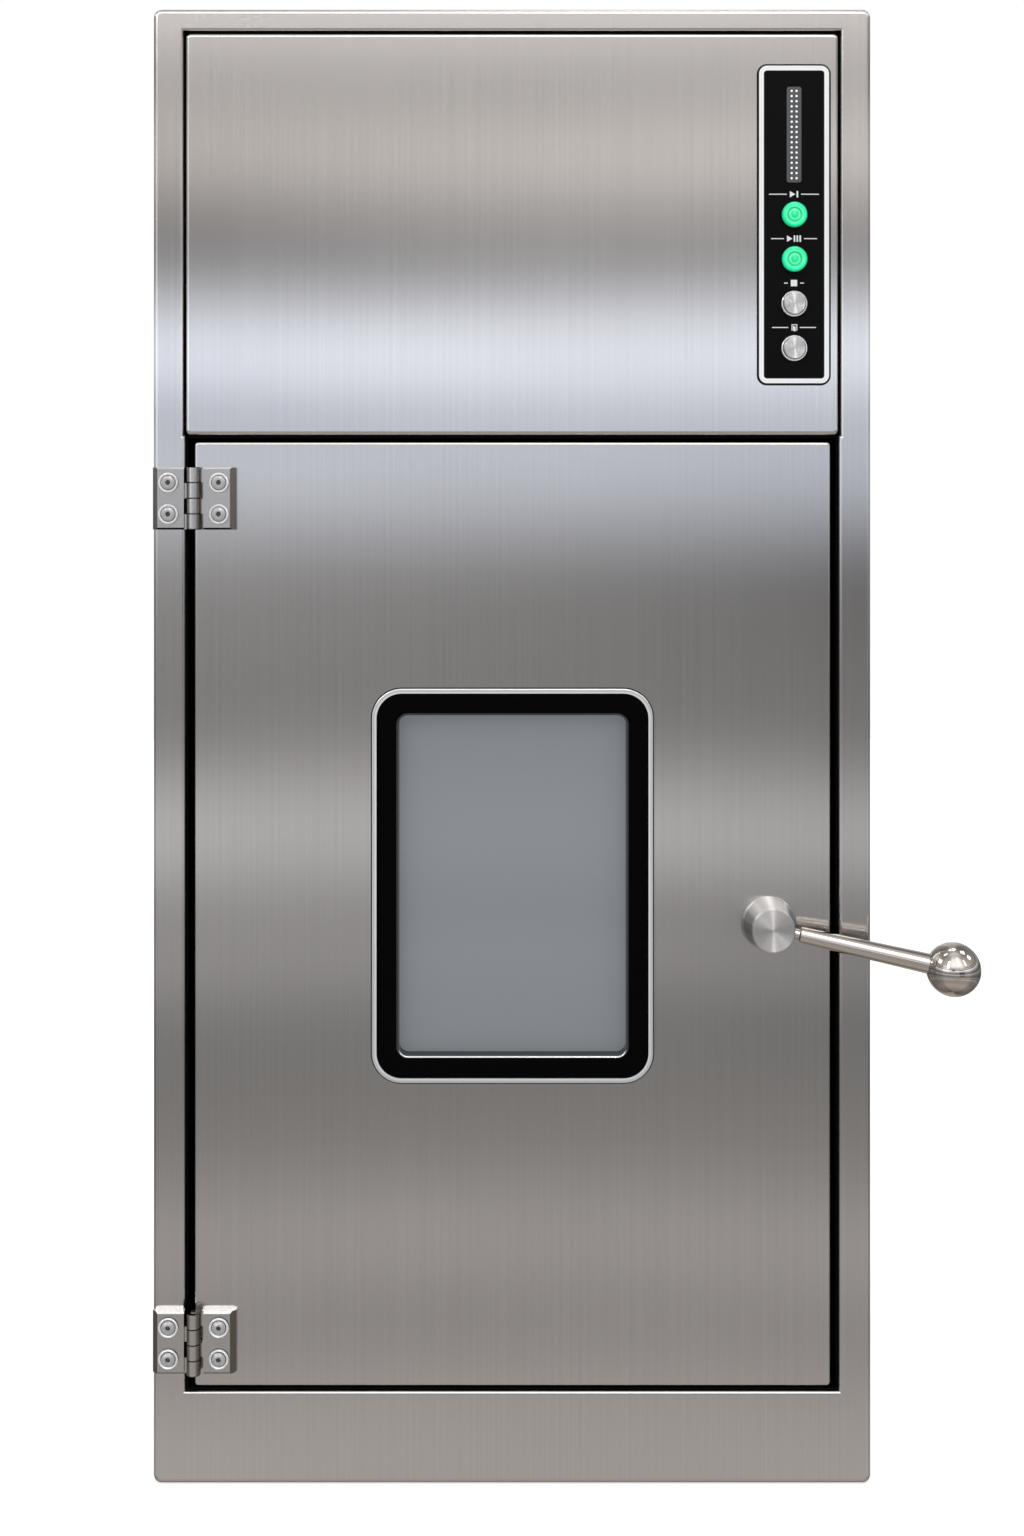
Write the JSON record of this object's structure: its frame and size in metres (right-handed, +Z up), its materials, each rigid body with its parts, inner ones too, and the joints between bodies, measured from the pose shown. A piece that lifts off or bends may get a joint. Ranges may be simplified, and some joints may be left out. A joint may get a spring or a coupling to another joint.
{
  "type": "cleanroom pass box",
  "caption": "Free-standing stainless pass-through cabinet with a gasketed glazed door on each side, ball-ended lever latches, push-button strip, fan and filter above the chamber.",
  "frame": {"origin": "middle of the footprint on the floor", "axes": "+Z up, -Y towards the loading side with the control strip, +X to the right of somebody facing that side"},
  "size_m": [0.913, 0.825, 1.501],
  "materials": {
    "casing_steel": "satin brushed stainless steel",
    "face_steel": "vertical grain brushed stainless steel",
    "chamber_steel": "fine satin stainless steel",
    "trim_steel": "polished rim",
    "turned_steel": "lathe-turned stainless steel",
    "hinge_steel": "satin cast stainless steel",
    "screw_steel": "bright stainless steel",
    "polished_steel": "polished",
    "inner_steel": "mill finish",
    "galvanised": "zinc coated",
    "motor_black": "satin black",
    "seal_rubber": "matt black EPDM",
    "window_black": "smooth black",
    "window_glass": "grey tinted",
    "fascia_black": "satin black",
    "lens_grey": "diffusing lens",
    "button_green": "illuminated translucent green",
    "button_steel": "turned face",
    "switch_plastic": "moulded",
    "filter_paper": "pleated glass-fibre paper",
    "enclosure_paint": "powder coated",
    "magnet_housing": "anodised"
  },
  "bodies": {
    "cabinet": {"base_pan": "casing_steel", "roof_skin": "casing_steel", "left_side_skin": "casing_steel", "right_side_skin": "casing_steel", "front_frame": "face_steel", "rear_frame": "face_steel", "chamber_liner": "chamber_steel", "diffuser_plate": "chamber_steel", "return_grilles": "chamber_steel", "door_and_panel_seals": "seal_rubber", "front_service_panel": "face_steel", "rear_service_panel": "face_steel", "control_bezel": "trim_steel", "control_fascia": "fascia_black", "led_bar_lens": "lens_grey", "metal_button_rims": "trim_steel", "switch_bodies": "switch_plastic", "hinge_frame_leaves": "hinge_steel", "hinge_pins": "screw_steel", "hinge_frame_screws": "screw_steel", "latch_keepers": "turned_steel", "interlock_magnets": "magnet_housing", "filter_frame": "inner_steel", "filter_media": "filter_paper", "plenum_hood": "galvanised", "motor_bracket": "galvanised", "blower_motor": "motor_black", "control_enclosure": "enclosure_paint", "cable_gland": "switch_plastic"},
    "front_door": {"front_door_skin": "face_steel", "front_door_inner_pan": "chamber_steel", "front_window_frame": "trim_steel", "front_window_gaskets": "window_black", "front_window_panes": "window_glass", "front_hinge_door_leaves": "hinge_steel", "front_hinge_door_screws": "screw_steel", "front_escutcheon_bush": "turned_steel", "front_armature_plate": "magnet_housing"},
    "front_handle": {"front_handle_hub": "turned_steel", "front_handle_arm": "polished_steel", "front_handle_ball": "polished_steel", "front_latch_cam_spindle": "turned_steel"},
    "rear_door": {"rear_door_skin": "face_steel", "rear_door_inner_pan": "chamber_steel", "rear_window_frame": "trim_steel", "rear_window_gaskets": "window_black", "rear_window_panes": "window_glass", "rear_hinge_door_leaves": "hinge_steel", "rear_hinge_door_screws": "screw_steel", "rear_escutcheon_bush": "turned_steel", "rear_armature_plate": "magnet_housing"},
    "rear_handle": {"rear_handle_hub": "turned_steel", "rear_handle_arm": "polished_steel", "rear_handle_ball": "polished_steel", "rear_latch_cam_spindle": "turned_steel"},
    "button_short_cycle_cap": {"button_short_cycle": "button_green"},
    "button_long_cycle_cap": {"button_long_cycle": "button_green"},
    "button_stop_cap": {"button_stop": "button_steel"},
    "button_open_door_cap": {"button_open_door": "button_steel"},
    "impeller": {"blower_impeller": "motor_black"}
  },
  "joints": [
    {"name": "front_door_hinge", "type": "hinge", "parent": "cabinet", "child": "front_door", "pos_m": [-0.31775, -0.3473, 0.567], "axis": [0, 0, -1], "range_deg": [0, 120]},
    {"name": "front_handle_turn", "type": "hinge", "parent": "front_door", "child": "front_handle", "pos_m": [0.2575, -0.343, 0.562], "axis": [0, 1, 0], "range_deg": [0, 78]},
    {"name": "rear_door_hinge", "type": "hinge", "parent": "cabinet", "child": "rear_door", "pos_m": [0.31775, 0.3473, 0.567], "axis": [0, 0, -1], "range_deg": [0, 120]},
    {"name": "rear_handle_turn", "type": "hinge", "parent": "rear_door", "child": "rear_handle", "pos_m": [-0.2575, 0.343, 0.562], "axis": [0, -1, 0], "range_deg": [0, 78]},
    {"name": "button_short_cycle_press", "type": "slide", "parent": "cabinet", "child": "button_short_cycle_cap", "axis": [0, 1, 0], "range_m": [0, 0.0015], "stiffness_N_per_m": 1500, "springref_m": -0.0008},
    {"name": "button_long_cycle_press", "type": "slide", "parent": "cabinet", "child": "button_long_cycle_cap", "axis": [0, 1, 0], "range_m": [0, 0.0015], "stiffness_N_per_m": 1500, "springref_m": -0.0008},
    {"name": "button_stop_press", "type": "slide", "parent": "cabinet", "child": "button_stop_cap", "axis": [0, 1, 0], "range_m": [0, 0.0015], "stiffness_N_per_m": 1500, "springref_m": -0.0008},
    {"name": "button_open_door_press", "type": "slide", "parent": "cabinet", "child": "button_open_door_cap", "axis": [0, 1, 0], "range_m": [0, 0.0015], "stiffness_N_per_m": 1500, "springref_m": -0.0008},
    {"name": "impeller_spin", "type": "hinge", "parent": "cabinet", "child": "impeller", "pos_m": [0, 0, 1.16], "axis": [0, 0, 1], "continuous": true}
  ]
}
